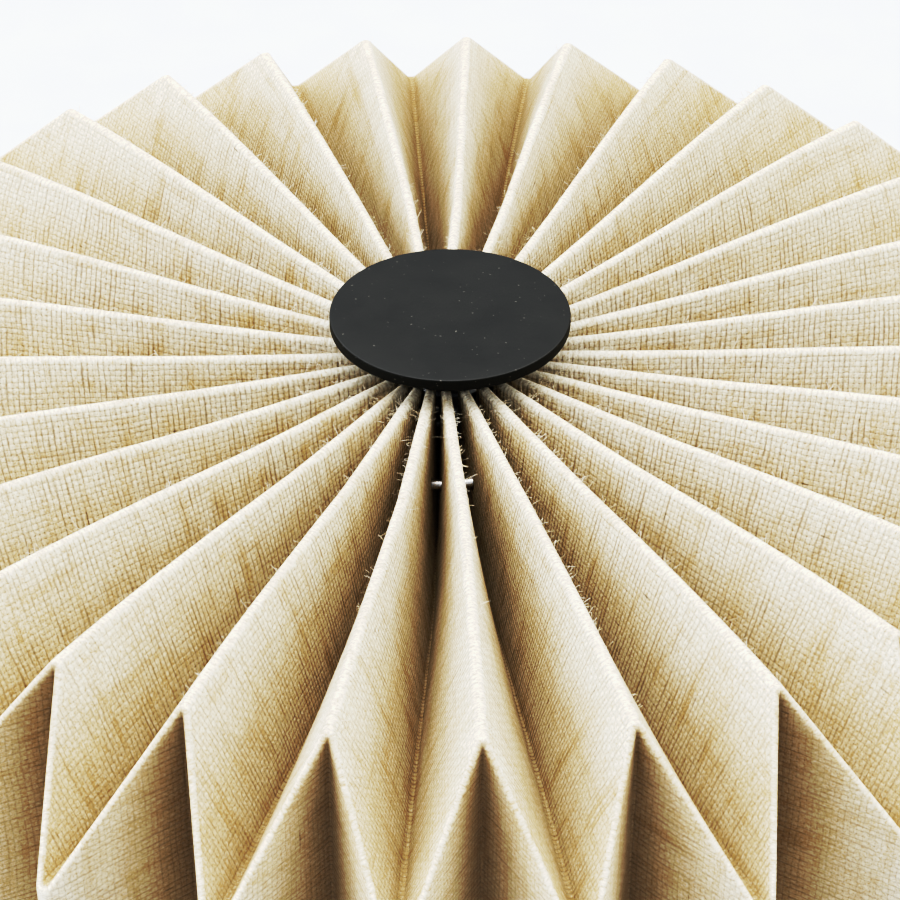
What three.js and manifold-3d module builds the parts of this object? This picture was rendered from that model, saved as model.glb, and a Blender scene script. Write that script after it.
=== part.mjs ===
// A round, pleated linen lamp shade: one strip of pleats, gathered in the middle,
// that lies flat on top, folds over a zigzag shoulder crease and falls as a drum.
// Millimetres, +Z up, the hem stands on z = 0, the front is -Y.

import * as THREE from 'three';
import { mergeVertices } from 'three/addons/utils/BufferGeometryUtils.js';
import Module from 'manifold-3d';

const wasm = await Module();
wasm.setup();

// ---------------------------------------------------------------- driving dimensions

const HEIGHT = 150;
const GAP = 0.3; // clearance that stands for a touching face

// pleats
const PLEATS = 30;
const PANEL_WIDTH = 23.8;
const SHEET = 0.8;
const FOLD_FLAT = 0.85; // width of the flattened fold on the middle of the sheet
const R_INNER_EDGE = 12.5;
const R_SHOULDER = 102.3; // upper ridges end here, inner folds of the wall run down from here
const R_WALL = 123.7; // upper valleys end here, outer folds of the wall run down from here
const CREST_UNIT = 20; // radius that the crest curve is scaled by
const CREST_CURVE = [-0.324, 0.0611, 0.0187, -0.0045];
const TOP_STATIONS = [0, 0.25, 0.5, 0.75, 1];
// how far the pleats have crept round from equal spacing: [waves, degrees, phase]
const DRIFT = [
  [1, 2.8, 11],
  [2, 1.15, -101],
  [3, 0.95, 142],
];

// wire ring that gathers the pleats
const R_RING = 23.5;
const RING_DEPTH = 17;
const WIRE_R = 0.7;
const RING_SPLIT = 0.6;

// cap, its pad and its stud
const R_CAP = 20;
const CAP_THICKNESS = 2;
const CAP_EDGE = 0.25;
const R_PAD = 14.5;
const PAD_BOTTOM = 143.9;
const STUD_R = 2.7;
const STUD_BOTTOM = 128;
const BORE_R = STUD_R + GAP;

// carrier: hub, arms and fitter ring
const SLEEVE_R = 6;
const SLEEVE_TOP = 140;
const NECK_R = 4;
const NECK_BOTTOM = 107.5;
const PLATE_R = 30;
const PLATE_TOP = 118.6;
const PLATE_THICKNESS = 2;
const WASHER_R = 9;
const WASHER_THICKNESS = 1.2;
const NUT_ACROSS_FLATS = 13;
const NUT_HEIGHT = 5;
const ARMS = 3;
const ARM_R = 1.5;
const ARM_BOW = 41;
const FITTER_R = 27;
const FITTER_HOLE_R = 20.5;
const FITTER_BOTTOM = 30;
const FITTER_THICKNESS = 2;

const SEAM_PANEL = -9; // the strip's two ends meet on the panel after this ridge
const TAPE_THICKNESS = 0.3;
const TAPE_GAP = 0.5;
const TAPE_ACROSS = [0.4, 0.6, 0.8]; // from the ridge to the valley of the panel
const TAPE_HEM = 3;

// ---------------------------------------------------------------- materials

const linen = { color: 0xd9c8a4, roughness: 0.92, metalness: 0 };
const tape = { color: 0xc9b98f, roughness: 0.9, metalness: 0 };
const blackCoat = { color: 0x1c1c1b, roughness: 0.6, metalness: 0.1 };
const blackPad = { color: 0x0c0c0c, roughness: 0.95, metalness: 0 };
const steel = { color: 0xb9b7b2, roughness: 0.25, metalness: 1 };
const zinc = { color: 0x9a9a96, roughness: 0.45, metalness: 1 };
const whiteCoat = { color: 0xe9e8e3, roughness: 0.5, metalness: 0 };

const shade = new THREE.Group();
shade.name = 'pleated_lamp_shade';

function add(name, geometry, look) {
  const mesh = new THREE.Mesh(geometry, new THREE.MeshStandardMaterial(look));
  mesh.name = name;
  shade.add(mesh);
  return mesh;
}

// ---------------------------------------------------------------- solids and booleans

function merged(geometry) {
  const bare = geometry.clone();
  bare.deleteAttribute('normal');
  bare.deleteAttribute('uv');
  return mergeVertices(bare, 1e-4);
}

function toManifold(geometry) {
  const bare = merged(geometry);
  return new wasm.Manifold(new wasm.Mesh({
    numProp: 3,
    vertProperties: new Float32Array(bare.attributes.position.array),
    triVerts: new Uint32Array(bare.index.array),
  }));
}

function cut(body, tool) {
  const mesh = toManifold(body).subtract(toManifold(tool)).getMesh();
  const geometry = new THREE.BufferGeometry();
  geometry.setAttribute('position', new THREE.BufferAttribute(mesh.vertProperties, 3));
  geometry.setIndex(new THREE.BufferAttribute(mesh.triVerts, 1));
  geometry.computeVertexNormals();
  return geometry;
}

// a solid of revolution about +Z from a closed outline of [radius, height] points
function turned(outline, segments) {
  const points = [...outline, outline[0]].map(([r, z]) => new THREE.Vector2(r, z));
  return new THREE.LatheGeometry(points, segments).rotateX(Math.PI / 2);
}

function tube(outer, inner, bottom, top, segments) {
  return turned([[inner, bottom], [outer, bottom], [outer, top], [inner, top]], segments);
}

// ---------------------------------------------------------------- the pleated strip

const degrees = Math.PI / 180;

// azimuth 0 is the front, -Y, and it grows towards +X
function at(radius, azimuth, z) {
  return new THREE.Vector3(radius * Math.sin(azimuth), -radius * Math.cos(azimuth), z);
}

function ridgeAzimuth(i) {
  const even = (i * 360) / PLEATS;
  let angle = even;
  for (const [waves, size, phase] of DRIFT) {
    angle += size * Math.cos((waves * even - phase) * degrees);
  }
  return angle * degrees;
}

function crestHeight(radius) {
  const t = Math.min(radius, R_SHOULDER) / CREST_UNIT - 1;
  const [c0, c1, c2, c3] = CREST_CURVE;
  return HEIGHT + CREST_UNIT * (c0 + t * (c1 + t * (c2 + t * c3)));
}

function valleyHeight(radius) {
  const halfPitch = 2 * radius * Math.sin(Math.PI / PLEATS / 2);
  return crestHeight(radius) - Math.sqrt(PANEL_WIDTH ** 2 - halfPitch ** 2);
}

// a point on a fold line, moved sideways by half of the fold's flat
function onFold(radius, azimuth, z, side) {
  const across = new THREE.Vector3(Math.cos(azimuth), Math.sin(azimuth), 0);
  return at(radius, azimuth, z).addScaledVector(across, (side * FOLD_FLAT) / 2);
}

// one column of the sheet's middle surface, from the inner edge over the shoulder to the hem
function foldColumn(azimuth, side, isRidge) {
  const reach = isRidge ? R_SHOULDER : R_WALL;
  const height = isRidge ? crestHeight : valleyHeight;
  const column = TOP_STATIONS.map((s) => {
    const radius = R_INNER_EDGE + s * (reach - R_INNER_EDGE);
    return onFold(radius, azimuth, height(radius), side);
  });
  column.push(onFold(reach, azimuth, 0, side));
  return column;
}

function stripColumns() {
  const columns = [];
  for (let i = 0; i < PLEATS; i += 1) {
    const ridge = ridgeAzimuth(i);
    const valley = (ridge + ridgeAzimuth(i + 1)) / 2;
    columns.push(foldColumn(ridge, -1, true), foldColumn(ridge, 1, true));
    columns.push(foldColumn(valley, -1, false), foldColumn(valley, 1, false));
  }
  return columns;
}

// offset of one vertex that keeps unit distance from every face that meets there
function mitre(normals) {
  const softness = 0.002;
  const matrix = [softness, 0, 0, 0, softness, 0, 0, 0, softness];
  const sum = new THREE.Vector3();
  for (const n of normals) {
    const v = n.toArray();
    sum.add(n);
    matrix.forEach((_, k) => { matrix[k] += v[Math.floor(k / 3)] * v[k % 3]; });
  }
  return sum.applyMatrix3(new THREE.Matrix3().set(...matrix).invert());
}

// gives a grid of points (columns of equal length) a skin on each side of the sheet
function thicken(columns, inner, outer, closed) {
  const count = columns.length;
  const rows = columns[0].length;
  const spans = closed ? count : count - 1;
  const id = (c, r) => (c % count) * rows + r;
  const points = columns.flat();
  const faces = [];
  for (let c = 0; c < spans; c += 1) {
    for (let r = 0; r + 1 < rows; r += 1) {
      faces.push([id(c, r), id(c, r + 1), id(c + 1, r + 1)]);
      faces.push([id(c, r), id(c + 1, r + 1), id(c + 1, r)]);
    }
  }
  const normals = points.map(() => []);
  for (const face of faces) {
    const normal = new THREE.Triangle(...face.map((k) => points[k])).getNormal(new THREE.Vector3());
    face.forEach((k) => normals[k].push(normal));
  }
  const skins = [outer, inner].map((distance) => points.map(
    (point, k) => point.clone().addScaledVector(mitre(normals[k]), distance),
  ));
  const below = points.length;
  const triangles = faces.flatMap(([a, b, c]) => [a, b, c, below + a, below + c, below + b]);
  const rim = (a, b) => triangles.push(a, below + b, b, a, below + a, below + b);
  for (let c = 0; c < spans; c += 1) {
    rim(id(c + 1, 0), id(c, 0));
    rim(id(c, rows - 1), id(c + 1, rows - 1));
  }
  for (let r = 0; r + 1 < rows && !closed; r += 1) {
    rim(id(0, r), id(0, r + 1));
    rim(id(count - 1, r + 1), id(count - 1, r));
  }
  const geometry = new THREE.BufferGeometry().setFromPoints(skins.flat());
  geometry.setIndex(triangles);
  geometry.computeVertexNormals();
  return geometry;
}

// ---------------------------------------------------------------- sub-parts

const RING_Z = HEIGHT - RING_DEPTH;

function ringTorus(tubeRadius) {
  return new THREE.TorusGeometry(R_RING, tubeRadius, 6, 72).translate(0, 0, RING_Z);
}

function addPleats() {
  const columns = stripColumns();
  const sheet = thicken(columns, -SHEET / 2, SHEET / 2, true);
  add('pleated_shade', cut(sheet, ringTorus(WIRE_R + GAP)), linen);

  const seam = 4 * (PLEATS + SEAM_PANEL) + 1;
  const across = TAPE_ACROSS.map((u) => columns[seam].slice(1).map(
    (point, row) => point.clone().lerp(columns[seam + 1][row + 1], u),
  ));
  across.forEach((column) => { column.at(-1).z = TAPE_HEM; });
  const top = -SHEET / 2 - TAPE_GAP;
  add('seam_tape', thicken(across, top - TAPE_THICKNESS, top, false), tape);
}

function addGatherRing() {
  const split = new THREE.BoxGeometry(RING_SPLIT, 4, 4).translate(0, R_RING, RING_Z);
  add('gather_ring', cut(ringTorus(WIRE_R), split), steel);
}

function addCap() {
  const bottom = HEIGHT - CAP_THICKNESS;
  const rim = R_CAP - CAP_EDGE;
  const disc = [[0, bottom], [rim, bottom], [R_CAP, bottom + CAP_EDGE]];
  disc.push([R_CAP, HEIGHT - CAP_EDGE], [rim, HEIGHT], [0, HEIGHT]);
  add('cap_disc', turned(disc, 72), blackCoat);
  add('cap_pad', tube(R_PAD, BORE_R, PAD_BOTTOM, bottom - GAP, 48), blackPad);
  const stud = [[0, STUD_BOTTOM], [STUD_R, STUD_BOTTOM], [STUD_R, bottom - GAP], [0, bottom - GAP]];
  add('cap_stud', turned(stud, 24), steel);
}

function hexNut(acrossFlats, holeRadius, height) {
  const corner = acrossFlats / 2 / Math.cos(Math.PI / 6);
  const outline = new THREE.Shape();
  for (let k = 0; k < 6; k += 1) {
    const angle = (k * Math.PI) / 3;
    outline[k ? 'lineTo' : 'moveTo'](corner * Math.cos(angle), corner * Math.sin(angle));
  }
  outline.closePath();
  outline.holes.push(new THREE.Path().absarc(0, 0, holeRadius, 0, 2 * Math.PI, true));
  return new THREE.ExtrudeGeometry(outline, { depth: height, bevelEnabled: false, curveSegments: 12 });
}

function addHub() {
  const seat = PLATE_TOP + GAP;
  const sleeve = [[BORE_R, NECK_BOTTOM], [NECK_R, NECK_BOTTOM], [NECK_R, seat]];
  sleeve.push([SLEEVE_R, seat], [SLEEVE_R, SLEEVE_TOP], [BORE_R, SLEEVE_TOP]);
  add('hub_sleeve', turned(sleeve, 32), zinc);

  const hole = NECK_R + GAP;
  const plateBottom = PLATE_TOP - PLATE_THICKNESS;
  add('hub_plate', tube(PLATE_R, hole, plateBottom, PLATE_TOP, 60), whiteCoat);

  const washerTop = plateBottom - GAP;
  const washer = tube(WASHER_R, hole, washerTop - WASHER_THICKNESS, washerTop, 32);
  const split = new THREE.BoxGeometry(WASHER_R, 1, 4).translate(WASHER_R, 0, washerTop);
  add('lock_washer', cut(washer, split), zinc);

  const nutTop = washerTop - WASHER_THICKNESS - GAP;
  const nut = hexNut(NUT_ACROSS_FLATS, hole, NUT_HEIGHT);
  add('hub_nut', nut.translate(0, 0, nutTop - NUT_HEIGHT), zinc);
  return plateBottom;
}

function armPath(top, bottom) {
  const point = (radius, z) => new THREE.Vector3(radius, 0, z);
  const path = new THREE.CurvePath();
  const corner = (a, b, c) => path.add(new THREE.QuadraticBezierCurve3(a, b, c));
  const line = (a, b) => path.add(new THREE.LineCurve3(a, b));
  line(point(14, top), point(27, top));
  corner(point(27, top), point(ARM_BOW, top), point(ARM_BOW, top - 15));
  line(point(ARM_BOW, top - 15), point(ARM_BOW, bottom + 18));
  corner(point(ARM_BOW, bottom + 18), point(ARM_BOW, bottom), point(28, bottom));
  line(point(28, bottom), point(22, bottom));
  return path;
}

function addCarrier(plateBottom) {
  const fitterTop = FITTER_BOTTOM + FITTER_THICKNESS;
  const section = new THREE.Shape().absarc(0, 0, ARM_R, 0, 2 * Math.PI);
  const path = armPath(plateBottom - GAP - ARM_R, fitterTop + GAP + ARM_R);
  for (let k = 0; k < ARMS; k += 1) {
    const wire = { extrudePath: path, steps: 36, bevelEnabled: false, curveSegments: 4 };
    const arm = new THREE.ExtrudeGeometry(section, wire);
    add(`arm_${k + 1}`, arm.rotateZ((k / ARMS + 1 / 12) * 2 * Math.PI), whiteCoat);
  }
  add('fitter_ring', tube(FITTER_R, FITTER_HOLE_R, FITTER_BOTTOM, fitterTop, 60), whiteCoat);
}

addPleats();
addGatherRing();
addCap();
addCarrier(addHub());

export default shade;
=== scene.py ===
"""A pleated linen lamp shade: the looks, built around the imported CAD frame. Metres, +Z up, front -Y."""
import math

import bmesh
import bpy
import numpy as np
from mathutils import Matrix, Vector


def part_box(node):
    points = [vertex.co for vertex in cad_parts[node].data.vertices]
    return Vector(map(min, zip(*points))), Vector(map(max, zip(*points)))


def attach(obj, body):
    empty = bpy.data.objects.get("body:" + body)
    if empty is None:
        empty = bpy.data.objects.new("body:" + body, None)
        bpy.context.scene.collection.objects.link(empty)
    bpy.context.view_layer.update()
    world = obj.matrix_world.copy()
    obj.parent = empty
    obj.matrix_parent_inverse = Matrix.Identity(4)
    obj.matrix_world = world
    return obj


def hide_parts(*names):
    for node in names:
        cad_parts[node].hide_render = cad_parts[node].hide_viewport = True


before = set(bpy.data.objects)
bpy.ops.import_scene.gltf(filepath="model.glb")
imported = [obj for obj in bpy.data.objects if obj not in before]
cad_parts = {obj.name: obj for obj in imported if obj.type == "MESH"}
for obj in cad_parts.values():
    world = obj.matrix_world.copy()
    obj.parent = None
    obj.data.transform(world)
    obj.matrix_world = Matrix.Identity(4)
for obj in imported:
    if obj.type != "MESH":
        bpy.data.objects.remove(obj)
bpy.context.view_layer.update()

MM = 0.001

# ---------- sizes taken from the frame

cap_low, cap_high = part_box("cap_disc")
ring_low, ring_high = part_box("gather_ring")
HEIGHT = cap_high[2]
R_CAP = (cap_high[0] - cap_low[0]) / 2
WIRE_R = (ring_high[2] - ring_low[2]) / 2
R_RING = (ring_high[0] - ring_low[0]) / 2 - WIRE_R
RING_Z = (ring_high[2] + ring_low[2]) / 2

# the pleats, as part.mjs drives them, except that the third wave of DRIFT is closer to the photo here
PLEATS = 30
PANEL_WIDTH = 23.8 * MM
SHEET = 0.8 * MM  # the linen with its backing
R_INNER_EDGE = 12.5 * MM
R_SHOULDER = 102.3 * MM  # where the ridges fold down
R_WALL = 123.7 * MM  # where the valleys fold down
CREST_UNIT = 20 * MM
CREST_CURVE = (-0.324, 0.0611, 0.0187, -0.0045)  # a cubic in CREST_UNIT, from the radius to the height
DRIFT = ((1, 2.8, 11), (2, 1.15, -101), (3, 0.68, 151))  # uneven spacing: waves, degrees, phase

# how the cloth lies, and its weave
SETTLED = 0.95 * MM  # how much lower the pleats lie than in the CAD
GATHER_OFFSET = -0.95 * MM  # how far the front and back pleats are pulled aside at the cap
GATHER_REACH = 45 * MM  # the radius where that pull begins
UNDER_CAP = 1.3  # how much the pull still grows under the cap
HELD_ALL_ROUND = 0.3  # how much the cap keeps the pleats from settling, against 1 in front
WARP_PITCH = 0.98 * MM  # from one thread of the weave to the next
WEFT_PITCH = 0.90 * MM


# ---------- camera

CAMERA_DISTANCE = 0.4429
CAMERA_ELEVATION = 33.15
CAMERA_AZIMUTH = -0.53
CAMERA_DIP = 2.95  # how far below the cap's middle the lens points, in degrees
LENS = 106.9
SENSOR = 36


def make_camera():
    up, side = math.radians(CAMERA_ELEVATION), math.radians(CAMERA_AZIMUTH)
    away = Vector((math.sin(side) * math.cos(up), -math.cos(side) * math.cos(up), math.sin(up)))
    camera = bpy.data.objects.new("camera", bpy.data.cameras.new("camera"))
    bpy.context.scene.collection.objects.link(camera)
    camera.location = Vector((0, 0, HEIGHT)) + away * CAMERA_DISTANCE
    camera.rotation_euler = (math.radians(90 - CAMERA_ELEVATION - CAMERA_DIP), 0, side)
    camera.data.lens = LENS
    camera.data.sensor_width = SENSOR
    camera.data.clip_start = 0.01
    bpy.context.scene.camera = camera


make_camera()

# ---------- node helpers


class Nodes:
    """Short ways to add shader nodes to a new material, or to a new world."""

    def __init__(self, name, kind=bpy.data.materials):
        self.owner = kind.new(name)
        self.owner.use_nodes = True
        self.tree = self.owner.node_tree
        self.shader = self.tree.nodes.get("Principled BSDF") or self.tree.nodes["Background"]

    def link(self, source, target):
        self.tree.links.new(source, target)

    def add(self, kind, **settings):
        node = self.tree.nodes.new(kind)
        for key, value in settings.items():
            setattr(node, key, value)
        return node

    def fill(self, socket, value):
        if isinstance(value, bpy.types.NodeSocket):
            self.link(value, socket)
        else:
            socket.default_value = value

    def math(self, operation, *values):
        node = self.add("ShaderNodeMath", operation=operation)
        for socket, value in zip(node.inputs, values):
            self.fill(socket, value)
        return node.outputs[0]

    def plus(self, one, two):
        return self.math("ADD", one, two)

    def minus(self, one, two):
        return self.math("SUBTRACT", one, two)

    def times(self, one, two):
        return self.math("MULTIPLY", one, two)

    def ramp(self, value, low, high, out_low=0.0, out_high=1.0, smooth=True):
        kind = "SMOOTHSTEP" if smooth else "LINEAR"
        node = self.add("ShaderNodeMapRange", interpolation_type=kind)
        for index, item in enumerate((value, low, high, out_low, out_high)):
            self.fill(node.inputs[index], item)
        return node.outputs[0]

    def mix(self, factor, one, two, blend="MIX"):
        node = self.add("ShaderNodeMix", data_type="RGBA", blend_type=blend)
        self.fill(node.inputs[0], factor)
        self.fill(node.inputs[6], one)
        self.fill(node.inputs[7], two)
        return node.outputs[2]

    def noise(self, vector, scale, detail=2.0, rough=0.5, distortion=0.0):
        node = self.add("ShaderNodeTexNoise")
        self.fill(node.inputs["Vector"], vector)
        node.inputs["Scale"].default_value = scale
        node.inputs["Detail"].default_value = detail
        node.inputs["Roughness"].default_value = rough
        node.inputs["Distortion"].default_value = distortion
        return node.outputs["Fac"]

    def pack(self, x=0.0, y=0.0, z=0.0):
        node = self.add("ShaderNodeCombineXYZ")
        for socket, value in zip(node.inputs, (x, y, z)):
            self.fill(socket, value)
        return node.outputs[0]

    def surface(self, values):
        """Sets the shader's own inputs, or links them."""
        for name, value in values.items():
            self.fill(self.shader.inputs[name], value)

    def place(self):
        return self.add("ShaderNodeTexCoord").outputs["Object"]

    def bump(self, height, distance, strength=1.0):
        node = self.add("ShaderNodeBump")
        self.fill(node.inputs["Height"], height)
        node.inputs["Distance"].default_value = distance
        node.inputs["Strength"].default_value = strength
        return node.outputs["Normal"]


# ---------- materials


# the linen's colours
PALE = (0.865, 0.81, 0.66, 1)
STRAW = (0.705, 0.585, 0.395, 1)
TAN = (0.40, 0.26, 0.105, 1)
# the fold edges: worn pale fuzz, and partly a painted highlight
WEAR_AND_HIGHLIGHT = (0.80, 0.76, 0.645, 1)
GAP = (0.12, 0.07, 0.03, 1)  # between the threads
DARK_FIBRE_AND_HOLE_SHADE = (0.05, 0.028, 0.014, 1)  # dark fibres, and the painted shade at the holes' edges
WALL_FOLD_SHADE = (0.17, 0.096, 0.034, 1)  # painted shade in the wall's inward folds


WANDER = 1.8  # threads


def weave_coordinates(n):
    """The cloth's own coordinates, and the same counted in threads that wander a little."""
    uv = n.add("ShaderNodeUVMap", uv_map="cloth").outputs[0]
    split = n.add("ShaderNodeSeparateXYZ")
    n.link(uv, split.inputs[0])
    clouds = [n.noise(uv, 55, 2.0), n.noise(uv, 75, 2.0)]
    counted = []
    for axis, pitch, cloud in zip(split.outputs[:2], (WARP_PITCH, WEFT_PITCH), clouds):
        counted.append(n.plus(n.math("DIVIDE", axis, pitch), n.times(n.minus(cloud, 0.5), WANDER)))
    return uv, counted


def hole_distance(n):
    """How far a point is from the gather ring's wire."""
    split = n.add("ShaderNodeSeparateXYZ")
    n.link(n.place(), split.inputs[0])
    x, y, z = split.outputs
    radius = n.math("SQRT", n.plus(n.times(x, x), n.times(y, y)))
    out, up = n.minus(radius, R_RING), n.minus(z, RING_Z - SETTLED)
    return n.math("SQRT", n.plus(n.times(out, out), n.times(up, up)))


FOLD_EDGE_REACH = 0.95 * MM  # how far the worn fuzz and its painted highlight spread from a fold
FOLD_EDGE_RAGGED = 1.3 * MM
CLOUD_SHIFT = 20 * MM  # how far clouds in the cloth move the edge of the painted light beside the folds
FOLD_LIGHT_AT_CAP = (-88 * MM, 3.5 * MM)  # from the shoulder, and how far it reaches from a fold
FOLD_LIGHT_AT_SHOULDER = (-10 * MM, 21 * MM)
VALLEY_SHADE_REACH = 6 * MM
WALL_FOLD_SHADE_REACH = 18 * MM
HOLE_SHADE_REACH = (1.0 * MM, 1.35 * MM)  # where the painted shade round each hole fades, from the middle of the wire
CALM_FROM = -45 * MM  # the weave gets flatter from here to the shoulder
RELIEF = 0.16 * MM


def linen_material():
    """Plain-woven flax: pale threads with thin dark gaps between them, brown slubs across the panels,
    and folds worn to a pale fuzz that also carries a painted highlight. Painted light makes the panels
    paler next to their outer folds, and painted shade darkens the valleys, the wall's inward folds and the
    gather ring's holes."""
    n = Nodes("linen")
    uv, (across, along) = weave_coordinates(n)

    def stretched(position, other, steps, run, seed, rough=0.6):
        """Noise that changes from thread to thread and only slowly along each thread."""
        number = n.times(n.math("FLOOR", n.plus(position, 0.5)), steps)
        return n.noise(n.pack(number, n.times(other, run), seed), 1.0, 3.0, rough)

    def gap_lines(position, other, seed, shallow, wide):
        """The gaps between the threads of one direction: how open, and the few that hold a dark fibre."""
        line = n.math("FLOOR", n.plus(position, 0.5))
        away = n.math("ABSOLUTE", n.minus(position, line))
        width = n.ramp(stretched(position, other, 3.7, 0.22, seed), 0.3, 0.7, 0.14, wide)
        depth = n.ramp(stretched(position, other, 7.3, 0.09, seed + 5), 0.36, 0.66, shallow, 1.0)
        gap = n.ramp(away, 0.02, width, 1.0, 0.0)
        dark = n.ramp(stretched(position, other, 5.9, 0.16, seed + 9), 0.67, 0.74)
        return gap, n.times(gap, depth), n.times(gap, dark)

    warp_gap, warp_line, warp_dark = gap_lines(across, along, 3.0, 0.12, 0.36)
    weft_gap, weft_line, weft_dark = gap_lines(along, across, 31.0, 0.30, 0.46)

    # plain weave: the threads take turns on top
    wave_a = n.math("SINE", n.times(across, math.pi))
    wave_b = n.math("SINE", n.times(along, math.pi))
    warp_round = n.math("POWER", n.math("ABSOLUTE", wave_a), 0.3)
    weft_round = n.math("POWER", n.math("ABSOLUTE", wave_b), 0.6)
    rise = n.times(n.times(n.math("SIGN", wave_a), wave_b), 0.6)
    fall = n.times(n.times(n.math("SIGN", wave_b), wave_a), -0.6)
    warp_height = n.times(warp_round, n.plus(rise, 0.6))
    weft_height = n.times(weft_round, n.plus(fall, 0.6))
    weave = n.math("MAXIMUM", warp_height, weft_height)
    weft_on_top = n.ramp(n.minus(weft_height, warp_height), -0.1, 0.1)

    # folds: worn fibres stand up and the gaps close, a painted highlight lies on the fold edges, and the
    # cloth beside the outer folds is painted lighter
    fold = n.add("ShaderNodeAttribute", attribute_name="fold")
    reach = n.add("ShaderNodeSeparateXYZ")
    n.link(fold.outputs["Vector"], reach.inputs[0])
    from_ridge, from_valley, from_crease = reach.outputs
    on_wall = n.math("GREATER_THAN", from_crease, 0.0)
    outer_fold = n.plus(n.times(from_ridge, n.minus(1.0, on_wall)), n.times(from_valley, on_wall))
    ragged = n.times(n.minus(n.noise(uv, 1100, 4.0, 0.7), 0.5), FOLD_EDGE_RAGGED)
    nearest = n.math("MINIMUM", outer_fold, n.times(n.math("ABSOLUTE", from_crease), 1.8))
    wear_and_highlight = n.ramp(n.plus(nearest, ragged), 0.0, FOLD_EDGE_REACH, 1.0, 0.0)
    off_fold_edge = n.minus(1.0, wear_and_highlight)
    cloud = n.noise(uv, 95, 4.0, 0.6)
    drift = n.times(n.minus(cloud, 0.5), CLOUD_SHIFT)
    starts, ends = zip(FOLD_LIGHT_AT_CAP, FOLD_LIGHT_AT_SHOULDER)
    painted_light_reach = n.ramp(from_crease, *starts, *ends)
    painted_fold_light = n.ramp(n.plus(outer_fold, drift), 0.0, painted_light_reach, 1.0, 0.0)

    # cloth colour: bands of darker weft, single darker threads, and a salt of short fibres
    band = n.noise(n.pack(n.times(along, 0.30), n.times(across, 0.040), 17.0), 1.0, 4.0, 0.65)
    weft_slub = stretched(n.minus(along, 0.5), across, 9.1, 0.06, 5.0)
    warp_slub = stretched(n.minus(across, 0.5), along, 6.7, 0.05, 8.0)
    stripe = n.noise(n.pack(n.times(across, 0.28), n.times(along, 0.03), 41.0), 1.0, 4.0, 0.6)
    salt = n.noise(uv, 2400, 3.0, 0.75)
    darker = n.ramp(painted_fold_light, 0.0, 1.0, n.minus(0.75, n.times(on_wall, 0.25)), 0.35)
    # painted shade: the top's panels get darker towards their valleys
    painted_valley_shade = n.ramp(n.plus(from_valley, n.times(ragged, 2.0)), 0.0, VALLEY_SHADE_REACH, 0.55, 0.0)
    # painted light: straw panels, painted paler beside the outer folds where light falls on them
    colour = n.mix(painted_fold_light, STRAW, PALE)
    for amount in (
        n.times(n.ramp(band, 0.50, 0.72), darker),
        n.times(n.ramp(weft_slub, 0.52, 0.72), n.times(darker, 0.7)),
        n.times(n.ramp(warp_slub, 0.54, 0.74), 0.4),
        n.times(n.ramp(stripe, 0.50, 0.74), 0.45),
        n.times(n.times(weft_on_top, off_fold_edge), 0.22),
        # painted shade towards the valleys of the top
        n.times(painted_valley_shade, n.minus(1.0, on_wall)),
    ):
        colour = n.mix(amount, colour, TAN)
    # the fold edges: worn pale fuzz with a painted highlight on it
    colour = n.mix(n.times(wear_and_highlight, 0.5), colour, WEAR_AND_HIGHLIGHT)
    colour = n.mix(n.times(wear_and_highlight, n.ramp(n.noise(uv, 1500, 3.0, 0.7), 0.50, 0.66, 0.0, 0.5)), colour, TAN)
    colour = n.mix(n.ramp(salt, 0.30, 0.54, 0.72, 0.0), colour, TAN)
    colour = n.mix(n.ramp(salt, 0.52, 0.72, 0.0, 0.7), colour, PALE)

    # painted shade: the wall's inward folds are painted darker, and each hole of the gather ring gets a
    # painted dark edge
    inward = n.ramp(n.plus(from_ridge, n.times(drift, 0.3)), 0.0, WALL_FOLD_SHADE_REACH, 0.68, 0.0)
    painted_wall_fold_shade = n.times(inward, n.ramp(from_crease, -0.5 * MM, 1.5 * MM))
    colour = n.mix(painted_wall_fold_shade, colour, WALL_FOLD_SHADE)
    # painted shade round the wire in each hole of the gather ring
    colour = n.mix(n.ramp(hole_distance(n), *HOLE_SHADE_REACH, 0.9, 0.0), colour, DARK_FIBRE_AND_HOLE_SHADE)

    # the gaps between the threads
    line = n.math("MAXIMUM", n.times(warp_line, 0.42), n.times(weft_line, 0.8))
    hole = n.times(warp_gap, weft_gap)
    under = n.times(n.ramp(weave, 0.20, 0.62, 0.5, 0.0), off_fold_edge)
    line = n.math("MAXIMUM", line, n.times(n.math("MAXIMUM", hole, under), 0.85))
    line = n.times(line, n.ramp(wear_and_highlight, 0.0, 1.0, 1.0, 0.2))
    calm = n.ramp(from_crease, CALM_FROM, 0.0, 0.92, 0.58)
    colour = n.mix(n.times(line, calm), colour, GAP)
    dark = n.times(n.math("MAXIMUM", warp_dark, weft_dark), n.ramp(wear_and_highlight, 0.0, 1.0, 0.75, 0.1))
    colour = n.mix(n.times(dark, calm), colour, DARK_FIBRE_AND_HOLE_SHADE)

    relief = n.plus(weave, n.times(weft_slub, 0.8))
    relief = n.times(relief, n.ramp(wear_and_highlight, 0.0, 0.8, 1.0, 0.1))
    relief = n.plus(relief, n.ramp(n.noise(uv, 2400, 4.0, 0.75), 0.2, 0.8, 0.0, 0.9))
    n.surface({
        "Base Color": colour,
        "Normal": n.bump(relief, RELIEF),
        "Roughness": 0.92,
        "Specular IOR Level": 0.1,
        "Sheen Weight": 0.12,
        "Sheen Roughness": 0.5,
        "Sheen Tint": (1.0, 0.90, 0.72, 1),
    })
    return n.owner


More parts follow.
